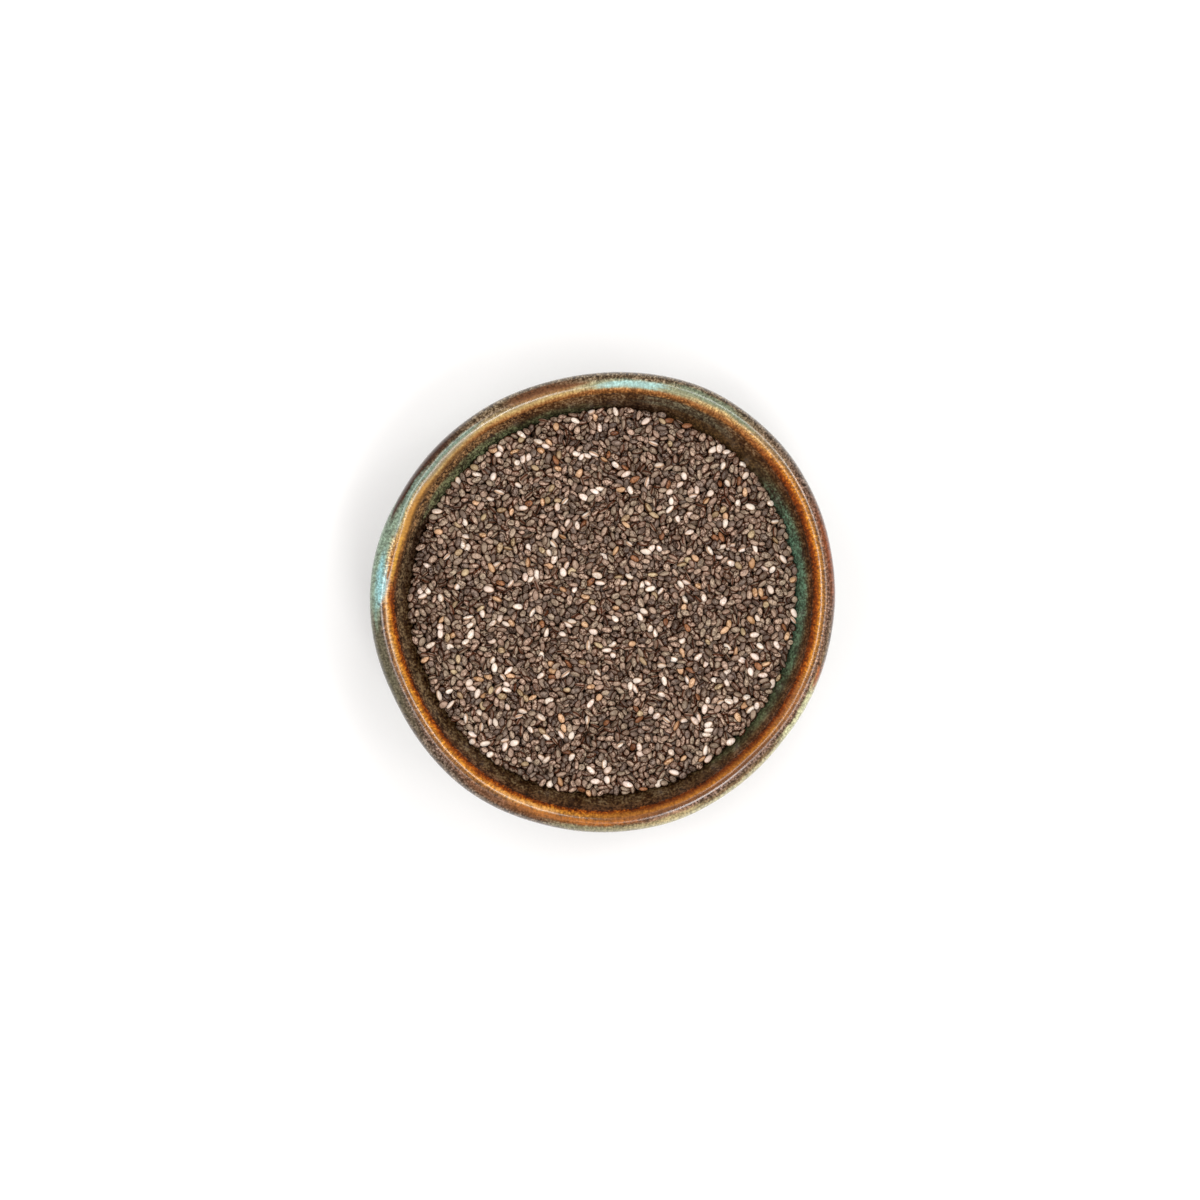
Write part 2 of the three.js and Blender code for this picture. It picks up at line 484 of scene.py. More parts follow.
glazeLook = {
    # the colours across the lip, in mm past the crest, where the glaze breaks over the edge
    "burnt": ((-10, "3c2610"), (-8, "462e16"), (-6.4, "4f361b"), (-5, "4e3117"), (-3.8, "533019"),
              (-3.0, "5a2d11"), (-2.4, "692d0a"), (-1.9, "7b3606"), (-1.4, "90490c"), (-0.9, "a96818"),
              (-0.5, "aa7026"), (-0.1, "7a4e1e"), (0.4, "6e4826"), (0.9, "664c3c"), (1.5, "523f33"),
              (2.6, "5a4a3a")),
    "honey": ((-10, "301d0f"), (-8, "402915"), (-6, "53381f"), (-4.6, "5b3c20"), (-3.6, "684525"),
              (-2.7, "774a22"), (-2.0, "885428"), (-1.5, "98683a"), (-1.0, "aa844e"), (-0.6, "b09460"),
              (-0.2, "9e8860"), (0.3, "806c4c"), (0.9, "6c5842"), (1.5, "584631"), (2.6, "64543f")),
    # the outside, in mm down from the crest
    "body": ((3, "5e4d3e"), (7, "625a46"), (12, "566552"), (20, "527061"), (31, "436056"), (40, "3c443b"),
             (47, "3f2d20")),
    "clay": "a57f60",
    "darkClay": "8a6549",
    # places round the bowl: bearing, half width and softness in degrees
    "honeySide": (108, 50, 26),
    "grainySide": (205, 75, 30),
    "calmSide": (132, 24, 14),
    "drySpot": (108, 10, 12),
    # the same, and by how many mm the amber starts lower there
    "lowAmber": ((132, 24, 14, 0.4), (147, 7, 14, 0.4), (250, 65, 25, 0.3), (107, 6, 8, 0.35),
                 (263, 12, 16, 0.5), (164, 9, 10, -1.2), (197, 8, 12, 0.3)),
    # and by how many mm the colours of the outside start higher
    "highRuns": ((174, 14, 12, 9), (299, 34, 14, 8)),
    # grain size in mm, detail and contrast of the speckles
    "grain": (1.3, 2.0, 2.6),
    "dust": (0.5, 1.0, 2.6),
    "cloud": (4.5, 2.0, 2.6),
    "orangePeel": (1.6, 2.0, 1.0),
    "orangePeelDepth": 0.1,  # in mm
    "orangePeelStrength": 0.17,
    # width and length of the runs, in mm
    "fineRuns": (0.3, 1.6),
    "broadRuns": (4.0, 22.0),
    "drips": (3.0, 60.0),
    "drift": (25.0, 1.8),
    # how strongly the specks change red, green and blue, as they go from deep brown to grey
    "speckTint": (0.2, 0.6, 1.15),
    # in mm past the crest: where the shaded wall ends, the round of the lip starts, and the outside starts
    "wallEnd": (-3.6, -2.0),
    "lipStart": (-0.4, 0.8),
    "bodyStart": (3.0, 7.0),
    "lastOnLip": 5,  # a pool that ends further out than this ends in drips
    "dripSoftness": 3,
    "wallRoughness": 0.4,
    "lipRoughness": 0.17,
    "clayRoughness": 0.55,  # on top of the lip's
    "sheen": 0.25,
    "wet": 0.5,
    "wetRoughness": 0.2,
    # pools: colour, its bearing, half width and softness in degrees, where it starts and ends in mm past
    # the crest, how soft these ends are, and how strongly it covers. Each lies over the ones before it
    "patches": (
        ("54705a", 5, 8, 36, -30, -6.6, 1.9, 0.9),  # green inside, to the right
        ("4e5e42", 330, 8, 26, -30, -7.2, 1.9, 0.5),
        ("505c3e", 114, 6, 24, -30, -7.4, 1.6, 0.4),
        ("6a573e", 185, 26, 16, -7.6, -4.8, 0.9, 0.55),  # lighter brown inside, to the left
        ("543d22", 54, 8, 14, -30, -6.8, 1.2, 0.7),
        ("5e6446", 137, 9, 11, -30, -6.6, 1.0, 0.6),
        ("7a5a3a", 142, 14, 11, -6.0, -2.6, 0.8, 0.75),
        ("565848", 66, 6, 10, -7.0, -3.2, 1.0, 0.5),
        ("70522c", 143, 10, 9, -2.9, -1.9, 0.4, 0.6),
        ("75604c", 142, 9, 8, -1.45, -1.0, 0.3, 0.6),
        ("857d71", 142, 9, 8, -0.95, -0.5, 0.3, 0.6),
        ("804816", 297, 15, 16, -1.9, 0.0, 0.5, 0.6),  # redder amber at the front
        ("4e2208", 297, 18, 14, -2.9, -1.5, 0.5, 0.5),
        ("80502e", 331, 4, 8, -1.9, 0.4, 0.5, 0.6),
        ("74441c", 263, 10, 10, -0.3, 1.3, 0.4, 0.75),
        ("9c5c1c", 261, 9, 9, -0.5, 0.6, 0.35, 0.8),
        ("402a16", 273, 24, 14, -6.2, -3.3, 0.6, 0.6),
        ("c8963c", 169, 5, 7, -1.45, -0.6, 0.35, 0.7),  # pale honey, with a painted highlight on the amber
        # pale honey amber with painted highlight, further in
        ("b8843c", 155, 6, 7, -2.0, -1.0, 0.4, 0.7),
        # painted highlight on the amber below the crest, front left
        ("d29c5c", 250, 6, 8, -1.5, -0.55, 0.35, 0.6),
        # painted highlight on the amber, to the left
        ("dcae74", 186, 6, 8, -1.0, -0.45, 0.3, 0.5),
        ("86562c", 105, 6, 8, -0.7, 0.6, 0.4, 0.65),
        ("5c3821", 106, 5, 8, 0.1, 1.9, 0.35, 0.85),  # umber
        ("381a0e", 143, 8, 12, 0.85, 3.3, 0.45, 0.85),
        ("6a4020", 243, 10, 12, 0.2, 1.9, 0.5, 0.6),
        ("585440", 193, 9, 16, 0.6, 13, 0.6, 0.75),  # grey green
        ("82421e", 12, 3, 16, 1.0, 3.2, 0.6, 0.8),  # rust
        ("76644a", 47, 5, 12, -0.3, 1.0, 0.5, 0.55),
        ("64715b", 61, 4, 9, -0.4, 1.3, 0.4, 0.75),  # turquoise
        ("747f67", 75, 5, 9, -1.3, 0.6, 0.4, 0.7),
        ("7f8e74", 88, 2, 8, -1.3, 0.8, 0.4, 0.55),
        ("6c7f70", 138, 6, 8, -0.4, 0.5, 0.3, 0.85),
        ("6c7f70", 152, 4, 7, -0.1, 1.2, 0.3, 0.85),
        ("7c8e7a", 169, 10, 8, 0.8, 20, 0.5, 0.85),
        ("5e3a22", 301, 14, 10, -0.6, 0.5, 0.35, 0.7),
        ("8e7048", 312, 30, 20, 1.4, 2.2, 0.5, 0.5),  # ochre
        ("988a66", 282, 7, 10, 1.3, 17, 0.4, 0.85),  # celadon
        ("b0a67e", 303, 18, 14, 2.2, 19, 0.35, 0.85),
        ("bebc92", 329, 5, 8, 1.4, 13, 0.35, 0.9),
        ("847e60", 268, 3, 10, 1.0, 9, 0.4, 0.8),
        ("7e7858", 303, 28, 14, 3.9, 7.5, 0.8, 0.45),
        ("a8946a", 287, 3, 5, 1.2, 2.5, 0.35, 0.7),
        # painted highlight widening the softbox line on the outer lip, front right
        ("a07a5c", 286, 3, 6, 0.65, 1.25, 0.3, 0.65),
        ("9a4e20", 339, 1, 5, 1.4, 3.0, 0.5, 0.8),
        ("96b8b2", 83, 3, 6, -1.05, 0.4, 0.45, 0.9),  # aqua
        ("84b0b2", 174, 1.5, 7, 0.2, 2.0, 0.5, 0.9),
        ("8ebabe", 175.5, 0.5, 5, -0.4, 0.6, 0.6, 0.8),
    ),
}


def makeRuns():
    # runs of glaze: noise that is fine round the bowl and long down it
    group, given, put = newGroup("glazeRuns", {"Across": 0.0, "Width": 0.6, "Length": 4.0}, "Runs")
    place = group.nodes.new("ShaderNodeTexCoord").outputs["Object"]
    unit = vectorCalc(group, "NORMALIZE", vectorCalc(group, "MULTIPLY", place, (1, 1, 0)))
    split = group.nodes.new("ShaderNodeSeparateXYZ")
    wire(group, split.inputs[0], unit)
    turns = calc(group, "DIVIDE", bowlShape["rimRadius"], given["Width"])
    vector = combine(group, calc(group, "MULTIPLY", split.outputs[0], turns),
                     calc(group, "MULTIPLY", split.outputs[1], turns),
                     calc(group, "DIVIDE", given["Across"], given["Length"]))
    wire(group, put, noiseAt(group, vector, 1.0, 2.0, 0.55))
    return group


def makePatch():
    # a mask round one bearing: 1 in the middle, 0 past its half width, both in degrees
    group, given, put = newGroup("glazePatch", {"Bearing": 0.0, "Half Width": 20.0, "Soft": 8.0}, "Mask")
    place = group.nodes.new("ShaderNodeSeparateXYZ")
    wire(group, place.inputs[0], group.nodes.new("ShaderNodeTexCoord").outputs["Object"])
    angle = calc(group, "ARCTAN2", place.outputs[1], place.outputs[0])
    apart = calc(group, "SUBTRACT", calc(group, "DEGREES", angle), given["Bearing"])
    apart = calc(group, "ABSOLUTE", calc(group, "WRAP", apart, 180.0, -180.0))
    outer = calc(group, "ADD", given["Half Width"], given["Soft"])
    wire(group, put, ramp(group, apart, given["Half Width"], outer, 1.0, 0.0))
    return group


def makeMottle():
    # uneven speckle about 0 with a grain size in mm, drawn out downwards as runny glaze is
    group, given, put = newGroup("mottle", {"Grain": 0.5, "Detail": 2.0, "Contrast": 1.0}, "Speckle")
    place = group.nodes.new("ShaderNodeTexCoord").outputs["Object"]
    drawn = vectorCalc(group, "MULTIPLY", place, (1, 1, 0.5))
    scale = calc(group, "DIVIDE", 1.0 / mm, given["Grain"])
    raw = noiseAt(group, drawn, scale, given["Detail"], 0.75)
    wire(group, put, calc(group, "MULTIPLY", calc(group, "SUBTRACT", raw, 0.5), given["Contrast"]))
    return group


runsGroup = makeRuns()
patchGroup = makePatch()
mottleGroup = makeMottle()


def glazeMaterial():
    look = glazeLook
    material, tree, shader = emptyMaterial("dripGlaze")
    across = attribute(tree, "across")
    pastGlaze = attribute(tree, "pastGlaze")

    def runs(name):
        width, length = look[name]
        return useGroup(tree, runsGroup, Across=across, Width=width, Length=length)["Runs"]

    def mottle(name):
        size, detail, contrast = look[name]
        return useGroup(tree, mottleGroup, Grain=size, Detail=detail, Contrast=contrast)["Speckle"]

    def about(value, amount):
        return calc(tree, "MULTIPLY", calc(tree, "SUBTRACT", value, 0.5), amount)

    def plus(*values):
        total = values[0]
        for value in values[1:]:
            total = calc(tree, "ADD", total, value)
        return total

    def times(*values):
        total = values[0]
        for value in values[1:]:
            total = calc(tree, "MULTIPLY", total, value)
        return total

    def less(mask, amount):
        # 1 outside the mask, and so much less inside it
        return calc(tree, "MULTIPLY_ADD", mask, -amount, 1.0)

    def bearing(middle, halfWidth, soft, shift=0.0):
        group = {"Bearing": plus(middle, shift), "Half Width": halfWidth, "Soft": soft}
        return useGroup(tree, patchGroup, **group)["Mask"]

    def band(low, high, soft):
        rise = ramp(tree, level, low - soft, low + soft)
        if high < look["lastOnLip"]:
            return times(rise, ramp(tree, level, high - soft, high + soft, 1.0, 0.0))
        soft = look["dripSoftness"]
        return times(rise, ramp(tree, plus(level, sag), high - soft, high + soft, 1.0, 0.0))

    def spread(mask):
        # frays the edge of a mask
        return plus(mask, times(uneven, ramp(tree, mask, 0.0, 0.4)))

    def onWall(inside, outside):
        # changes where the shaded inside wall ends and the lip begins
        return ramp(tree, across, *look["wallEnd"], inside, outside)

    def darkened(colour, *shades):
        return blendColour(tree, 1.0, colour, combine(tree, *shades), "MULTIPLY")

    grain, dust, cloud = mottle("grain"), mottle("dust"), mottle("cloud")
    fineRuns, broadRuns = runs("fineRuns"), runs("broadRuns")
    uneven = plus(times(grain, 0.4), times(dust, 0.45), times(cloud, 0.3), about(fineRuns, 0.25))
    uneven = times(uneven, onWall(1.0, 0.5))
    drips = about(runs("drips"), 30)
    outside = ramp(tree, across, 2.5, 6.0)
    sag = times(drips, ramp(tree, across, 4.0, 12.0))
    drift = about(runs("drift"), 26)
    drift = plus(times(drift, ramp(tree, outside, 0.0, 1.0, 1.0, 0.0)), times(drips, outside, 0.4))
    deep = ramp(tree, across, -2.6, -1.0, 1.0, 0.0)
    level = plus(across, about(fineRuns, 0.5), about(broadRuns, 0.9))
    lower = [times(bearing(*where), amount) for *where, amount in look["lowAmber"]]
    place = plus(level, plus(*lower), times(plus(grain, dust), deep, 0.45))

    # the lip, from the inside wall over the crest
    colour = blendColour(tree, bearing(*look["honeySide"]), gradient(tree, place, look["burnt"]),
                         gradient(tree, place, look["honey"]))
    # the body, where pale glaze ran down the outside
    higher = [times(bearing(*where), amount) for *where, amount in look["highRuns"]]
    body = gradient(tree, plus(across, about(broadRuns, 30), *higher), look["body"])
    colour = blendColour(tree, ramp(tree, across, *look["bodyStart"]), colour, body)

    # dark and light specks, strongest on the wall
    wall, lip = onWall(1.0, 0.0), ramp(tree, across, *look["lipStart"])
    grainy = bearing(*look["grainySide"])
    coarse = times(grain, plus(0.5, times(wall, plus(1.0, times(grainy, 1.6))), times(lip, 0.5)))
    coarse = plus(coarse, times(cloud, wall, 1.3))
    fine = times(dust, plus(1.3, times(wall, plus(1.4, times(grainy, 1.4))), times(lip, 1.5)))
    calm = bearing(*look["calmSide"])
    streaks = times(about(fineRuns, ramp(tree, across, -2.2, -0.8, 0.6, 2.2)), less(calm, 0.6))
    specks = calc(tree, "SMOOTH_MIN", plus(coarse, fine, streaks), 1.5, 1.2)
    calmWall = times(calm, ramp(tree, across, -0.9, -0.3, 1.0, 0.0), ramp(tree, across, -3.6, -2.6))
    specks = times(specks, less(calmWall, 0.45), ramp(tree, across, 2.5, 7.0, 1.0, 0.42))
    shades = [calc(tree, "POWER", 2.0, times(specks, onWall(inside, inside * 0.35 + 0.72)))
              for inside in look["speckTint"]]
    colour = darkened(colour, *shades)

    # pools of other colours, which the specks show through
    for code, middle, halfWidth, soft, low, high, bandSoft, strength in look["patches"]:
        mask = spread(times(bearing(middle, halfWidth, soft, drift), band(low, high, bandSoft)))
        colour = blendColour(tree, times(mask, strength), colour, srgb(code))
    shade = calc(tree, "POWER", 2.0, times(specks, onWall(0.8, 0.4)))
    colour = darkened(colour, shade, shade, shade)

    # bare clay below the glaze
    clay = blendColour(tree, plus(grain, 0.5), srgb(look["clay"]), srgb(look["darkClay"]))
    bare = ramp(tree, plus(pastGlaze, times(grain, 0.25)), 0.0, 0.25)
    colour = blendColour(tree, bare, colour, clay)
    wire(tree, shader.inputs["Base Color"], colour)

    # satin on the wall, wet on the lip, matt on the clay
    satin = ramp(tree, across, -2.8, -1.2, look["wallRoughness"], look["lipRoughness"])
    rough = calc(tree, "MULTIPLY_ADD", bare, look["clayRoughness"], satin)
    wire(tree, shader.inputs["Roughness"], rough)
    shader.inputs["Specular IOR Level"].default_value = look["sheen"]
    wet = times(ramp(tree, across, -3.0, -1.2, 0.0, look["wet"]), less(bare, 1.0))
    wet = times(wet, less(bearing(*look["drySpot"]), 0.6))
    wire(tree, shader.inputs["Coat Weight"], wet)
    shader.inputs["Coat Roughness"].default_value = look["wetRoughness"]
    bump = tree.nodes.new("ShaderNodeBump")
    bump.inputs["Strength"].default_value = look["orangePeelStrength"]
    bump.inputs["Distance"].default_value = look["orangePeelDepth"] * mm
    wire(tree, bump.inputs["Height"], mottle("orangePeel"))
    wire(tree, shader.inputs["Normal"], bump.outputs["Normal"])
    return material


makeBowl()
print("bowl thrown and glazed")


# the seeds

heap = {
    "shuffle": 41,
    "fillDepth": 9.0,  # from the crest of the rim down to the edge of the seeds, in mm
    "rise": 1.3,
    # height, length, direction and phase
    "ripples": ((0.3, 31, 35, 0.4), (0.24, 19, 120, 1.9), (0.15, 11, 223, 4.2)),
    "clearance": 0.3,
    "levelEdge": 8.0,
    "wallSteps": 200,
    "bedDepth": 2.75,  # how thick the loose layer and the relief are together
    "halfSpan": 46,  # of the grid that the seeds are dropped on
    "cell": 0.14,
    "reliefSeeds": 2700,
    "looseSeeds": 5400,
    "edgeGap": 0.25,
    "tries": 26,  # places looked at for each seed, of which the lowest third is tried out
    "leastTries": 6,
    "nudges": 10,  # small moves looked at in each round of settling
    "hops": ((4, 0.9), (2, 0.35), (2, 0.35)),  # the rounds: how many cells and how much turning
    "rollNudge": 0.1,
    "tiltNudge": 0.08,
    "patchReach": 0.62,  # the patch a seed is laid on and the part it leans on, in shares of its length
    "feelReach": 0.42,
    "steepest": 0.55,
    "tilt": 0.2,
    "roll": 0.32,
    "onEdge": 0.14,  # share of the seeds that stand on their narrow side, and how far they roll up
    "onEdgeRoll": (0.7, 1.5),
    "inSight": 0.3,  # share of a seed that has to show for it to count as seen
    "wholeShare": 0.55,  # share and mm2 that show of the seeds which may be pale
    "wholeArea": 1.35,
}
core = {
    "shuffle": 5,
    "cell": 0.34,
    "edgeGap": 1.0,
    "steps": 6,  # of the side, and how far each goes down
    "stepHeight": 3.5,
    "wallGap": 1.2,
    "floorGap": 4.0,
    # painted shade: the packed seeds under the loose ones are coloured darker than the seeds, standing for
    # the shade in the gaps
    "dark": "1c0e06",
    "light": "745843",
    "roughness": 0.6,
    "sheen": 0.2,
}
seedSize = {
    "length": 2.12,
    "width": 1.36,
    "thickness": 0.86,
    "spread": 0.13,
    "limits": (-0.3, 0.2),
    "segments": 8,
    "rings": 6,
    "point": 0.14,  # how much slimmer one end is than the other
}
seedCoat = {
    "shuffle": 7,
    "flecks": 2.1,  # per mm
    "veins": 4.2,
    "cool": (0.985, 1.0, 0.97, 1),  # tints between which the seeds differ
    "warm": (1.025, 0.985, 0.98, 1),
    "roughness": 0.6,
    "sheen": 0.08,
    "wax": 0.42,
    "waxRoughness": 0.35,
}
seedKinds = {
    # share among the seeds that show, the two colours of the marbling, and the colour of the painted shade
    # round each seed's thin rim and on seeds sunk deep in the heap
    "charcoal": {"share": 0.22, "dark": "2c170a", "light": "8a7668", "edge": "331402"},
    "grey": {"share": 0.27, "dark": "371e0d", "light": "b09a84", "edge": "3c1803"},
    "brown": {"share": 0.38, "dark": "3f220e", "light": "bfa28d", "edge": "451d04"},
    "straw": {"share": 0.018, "dark": "7c6246", "light": "c8b08c", "edge": "5c3c1e"},
    "white": {"share": 0.079, "dark": "c2aa99", "light": "f1e4d9", "edge": "a88466"},
    "tan": {"share": 0.022, "dark": "9a7048", "light": "dcb592", "edge": "6c4020"},
    "rust": {"share": 0.011, "dark": "552e17", "light": "9e6a46", "edge": "381807"},
}
paleKinds = ("white", "tan", "straw", "rust")  # these lie on top, where they are seen whole


def rippleAt(x, y):
    total = 0
    for height, length, direction, phase in heap["ripples"]:
        along = x * math.cos(math.radians(direction)) + y * math.sin(math.radians(direction))
        total = total + height * np.sin(2 * math.pi * along / length + phase)
    return total


def unthrown(x, y, z):
    # undoes handThrown for points near the level z: gives the radius that the plain turned bowl has there
    angle = np.arctan2(y, x)
    radius = np.hypot(x, y)
    wave = sum(h * np.cos(count * angle - math.radians(peak)) for count, h, peak in bowlShape["lobes"])
    return radius / (1 + wave * (z / bowlShape["height"]) / bowlShape["rimRadius"])


def wallTable():
    # the inside wall as rising radii and the heights they lie at
    points = sorted(insideCurve(heap["wallSteps"]))
    return np.array([p[0] for p in points]), np.array([p[1] for p in points])


wallRadii, wallHeights = wallTable()
edgeLevel = bowlShape["height"] - heap["fillDepth"]
edgeRadius = float(np.interp(edgeLevel, wallHeights, wallRadii)) - heap["clearance"]


def heapTop(x, y):
    # the height of the finished heap, as the CAD heap has it
    radius = unthrown(x, y, edgeLevel)
    share = np.clip(radius / edgeRadius, 0, 1)
    fade = np.clip((edgeRadius - radius) / heap["levelEdge"], 0, 1)
    fade = fade * fade * (3 - 2 * fade)
    return edgeLevel + heap["rise"] * (1 - share ** 2) + rippleAt(x, y) * fade


def ellipsoidSheets(turn, half, dx, dy):
    # the lower and upper height of turned ellipsoids over a patch of the grid, NaN outside them
    form = np.einsum("kia,ka,kja->kij", turn, 1 / half ** 2, turn).transpose(1, 2, 0)[..., None, None]
    top = form[2, 2]
    slope = form[0, 2] * dx + form[1, 2] * dy
    flat = form[0, 0] * dx ** 2 + 2 * form[0, 1] * dx * dy + form[1, 1] * dy ** 2 - 1
    inside = slope ** 2 - top * flat
    root = np.sqrt(np.where(inside > 0, inside, np.nan))
    return (-slope - root) / top, (-slope + root) / top


def leaning(slopeX, slopeY, heading, roll):
    # turns whose third axis stands on the local slope and whose first axis points along the heading
    normal = np.stack([-slopeX, -slopeY, np.ones_like(slopeX)], 1)
    normal /= np.linalg.norm(normal, axis=1)[:, None]
    along = np.stack([np.cos(heading), np.sin(heading), np.zeros_like(heading)], 1)
    along -= normal * np.sum(along * normal, 1)[:, None]
    along /= np.linalg.norm(along, axis=1)[:, None]
    side = np.cross(normal, along)
    c, s = np.cos(roll)[:, None], np.sin(roll)[:, None]
    return np.stack([along, side * c + normal * s, normal * c - side * s], 2)


def dropSeeds():
    # lets the seeds fall one by one on a height map, each into the lowest place it finds nearby
    rng = np.random.default_rng(heap["shuffle"])
    cell = heap["cell"]
    reach = int(heap["halfSpan"] / cell)
    line = np.arange(-reach, reach + 1) * cell
    gridX, gridY = np.meshgrid(line, line, indexing="ij")
    wall = np.interp(unthrown(gridX, gridY, edgeLevel), wallRadii, wallHeights)
    goal = heapTop(gridX, gridY)
    ground = np.maximum(wall, goal - heap["bedDepth"])
    owner = np.full(ground.shape, -1)
    patch = int(math.ceil(heap["patchReach"] * seedSize["length"] / cell))
    near = np.arange(-patch, patch + 1)
    dx, dy = np.meshgrid(near * cell, near * cell, indexing="ij")
    feel = np.hypot(dx, dy) < heap["feelReach"] * seedSize["length"]
    spreadSum = float((dx[feel] ** 2).sum())
    steepest = heap["steepest"]

    def settle(i, j, heading, roll, tilt, half):
        # lays a seed on each of the places, leaning with the ground, and keeps the one that lies lowest
        patches = ground[i[:, None, None] + near[None, :, None], j[:, None, None] + near[None, None, :]]
        centred = (patches - patches[:, feel].mean(1)[:, None, None]) * feel
        slopeX = np.clip((centred * dx).sum((1, 2)) / spreadSum, -steepest, steepest) + tilt[:, 0]
        slopeY = np.clip((centred * dy).sum((1, 2)) / spreadSum, -steepest, steepest) + tilt[:, 1]
        turn = leaning(slopeX, slopeY, heading, roll)
        low, high = ellipsoidSheets(turn, np.tile(half, (len(i), 1)), dx, dy)
        rest = np.nanmax(patches - low, axis=(1, 2))
        k = int(np.argmin(rest - goal[i, j]))
        return {"rest": rest[k] - goal[i[k], j[k]], "i": int(i[k]), "j": int(j[k]), "level": float(rest[k]),
                "heading": heading[k], "roll": roll[k], "tilt": tilt[k], "turn": turn[k], "high": high[k]}

    seeds = []
    relief = None
    for number in range(heap["reliefSeeds"] + heap["looseSeeds"]):
        loose = number >= heap["reliefSeeds"]
        if number == heap["reliefSeeds"]:
            relief = ground.copy(), owner.copy()
        radius = np.sqrt(rng.random(heap["tries"])) * (edgeRadius - heap["edgeGap"])
        bearing = rng.random(heap["tries"]) * 2 * math.pi
        i = np.round(radius * np.cos(bearing) / cell).astype(int) + reach
        j = np.round(radius * np.sin(bearing) / cell).astype(int) + reach
        low = np.argsort(ground[i, j] - goal[i, j])[:max(heap["leastTries"], heap["tries"] // 3)]
        count = len(low)
        upright = rng.random() < heap["onEdge"]
        roll = rng.uniform(*heap["onEdgeRoll"], count) if upright else rng.normal(0, heap["roll"], count)
        size = 1 + rng.normal(0, seedSize["spread"], 3).clip(*seedSize["limits"])
        half = size * np.array([seedSize["length"], seedSize["width"], seedSize["thickness"]]) / 2
        heading = rng.random(count) * 2 * math.pi
        tilt = rng.normal(0, heap["tilt"], (count, 2))
        best = settle(i[low], j[low], heading, roll, tilt, half)
        rounds = heap["hops"] if loose else ()
        for hop, twist in rounds:
            count = heap["nudges"]
            i = best["i"] + rng.integers(-hop, hop + 1, count)
            j = best["j"] + rng.integers(-hop, hop + 1, count)
            heading = best["heading"] + rng.normal(0, twist, count)
            roll = best["roll"] + rng.normal(0, heap["rollNudge"], count)
            tilt = best["tilt"] + rng.normal(0, heap["tiltNudge"], (count, 2))
            tried = settle(i, j, heading, roll, tilt, half)
            if tried["rest"] < best["rest"]:
                best = tried
        a, b = best["i"], best["j"]
        window = (slice(a - patch, a + patch + 1), slice(b - patch, b + patch + 1))
        raised = best["level"] + best["high"]
        covered = raised > ground[window]
        ground[window] = np.where(covered, raised, ground[window])
        owner[window] = np.where(covered, number, owner[window])
        if loose:
            full = int(np.isfinite(best["high"]).sum())
            place = (line[a], line[b], best["level"])
            seeds.append({"place": place, "turn": best["turn"], "half": half, "full": full})
    seen = np.bincount(owner[owner >= 0], minlength=number + 1)[heap["reliefSeeds"]:]
    for seed, cells in zip(seeds, seen):
        seed["shown"] = cells / seed["full"]
        seed["area"] = cells * cell ** 2
    error = float((ground - goal)[wall < goal].mean())
    inSight = sum(seed["shown"] > heap["inSight"] for seed in seeds)
    print("heap surface is", round(error, 2), "mm off its goal on average,", inSight, "seeds show")
    return seeds, relief, line


def seedTemplate():
    # one seed of unit size, lying along X, slimmer at one end
    bm = bmesh.new()
    bmesh.ops.create_uvsphere(bm, u_segments=seedSize["segments"], v_segments=seedSize["rings"], radius=1)
    bmesh.ops.rotate(bm, verts=bm.verts, cent=(0, 0, 0), matrix=Matrix.Rotation(math.pi / 2, 3, "Y"))
    for vert in bm.verts:
        slim = 1 - seedSize["point"] * vert.co.x
        vert.co.y *= slim
        vert.co.z *= slim
    bmesh.ops.recalc_face_normals(bm, faces=bm.faces)
    points = np.array([vert.co for vert in bm.verts])
    faces = [[vert.index for vert in face.verts] for face in bm.faces]
    bm.free()
    return points, faces


def seedPatches(points, faces):
    # the template unrolled in a unit cell: its upper half on the left, its lower half on the right
    across, along = 0.2, 0.44  # half the room that each takes up
    spots = []
    for face in faces:
        centre = 0.25 if np.mean([points[v][2] for v in face]) > 0 else 0.75
        spots += [(centre + points[v][1] * across, 0.5 + points[v][0] * along) for v in face]
    return np.array(spots)


def sortSeeds(seeds, rng):
    # a kind for each seed: the pale ones are taken from those that lie flat and are seen nearly whole
    names = list(seedKinds)
    darkNames = [name for name in names if name not in paleKinds]
    darkShares = np.array([seedKinds[name]["share"] for name in darkNames])
    kinds = rng.choice(len(darkNames), len(seeds), p=darkShares / darkShares.sum())
    kinds = np.array([names.index(name) for name in darkNames])[kinds]
    whole = rng.permutation([n for n, seed in enumerate(seeds)
                             if seed["shown"] > heap["wholeShare"] and seed["area"] > heap["wholeArea"]])
    inSight = sum(seed["shown"] > heap["inSight"] for seed in seeds)
    used = 0
    for name in paleKinds:
        count = round(seedKinds[name]["share"] * inSight)
        kinds[whole[used:used + count]] = names.index(name)
        used += count
    return names, kinds


def copyTemplate(name, verts, faces, spots):
    # one mesh with a copy of the template for each row of verts, given in metres
    count, size, _ = verts.shape
    loopVerts = np.concatenate(faces)
    faceSizes = np.tile([len(face) for face in faces], count)
    data = bpy.data.meshes.new(name)
    data.vertices.add(count * size)
    data.vertices.foreach_set("co", verts.ravel())
    data.loops.add(count * len(loopVerts))
    copied = loopVerts[None] + np.arange(count)[:, None] * size
    data.loops.foreach_set("vertex_index", copied.ravel())
    data.polygons.add(count * len(faces))
    data.polygons.foreach_set("loop_start", np.concatenate([[0], np.cumsum(faceSizes)[:-1]]))
    side = math.ceil(math.sqrt(count))
    cells = np.stack([np.arange(count) % side, np.arange(count) // side], 1)
    unrolled = (spots[None] + cells[:, None]) / side
    data.uv_layers.new(name="OFBake").data.foreach_set("uv", unrolled.ravel())
    return data


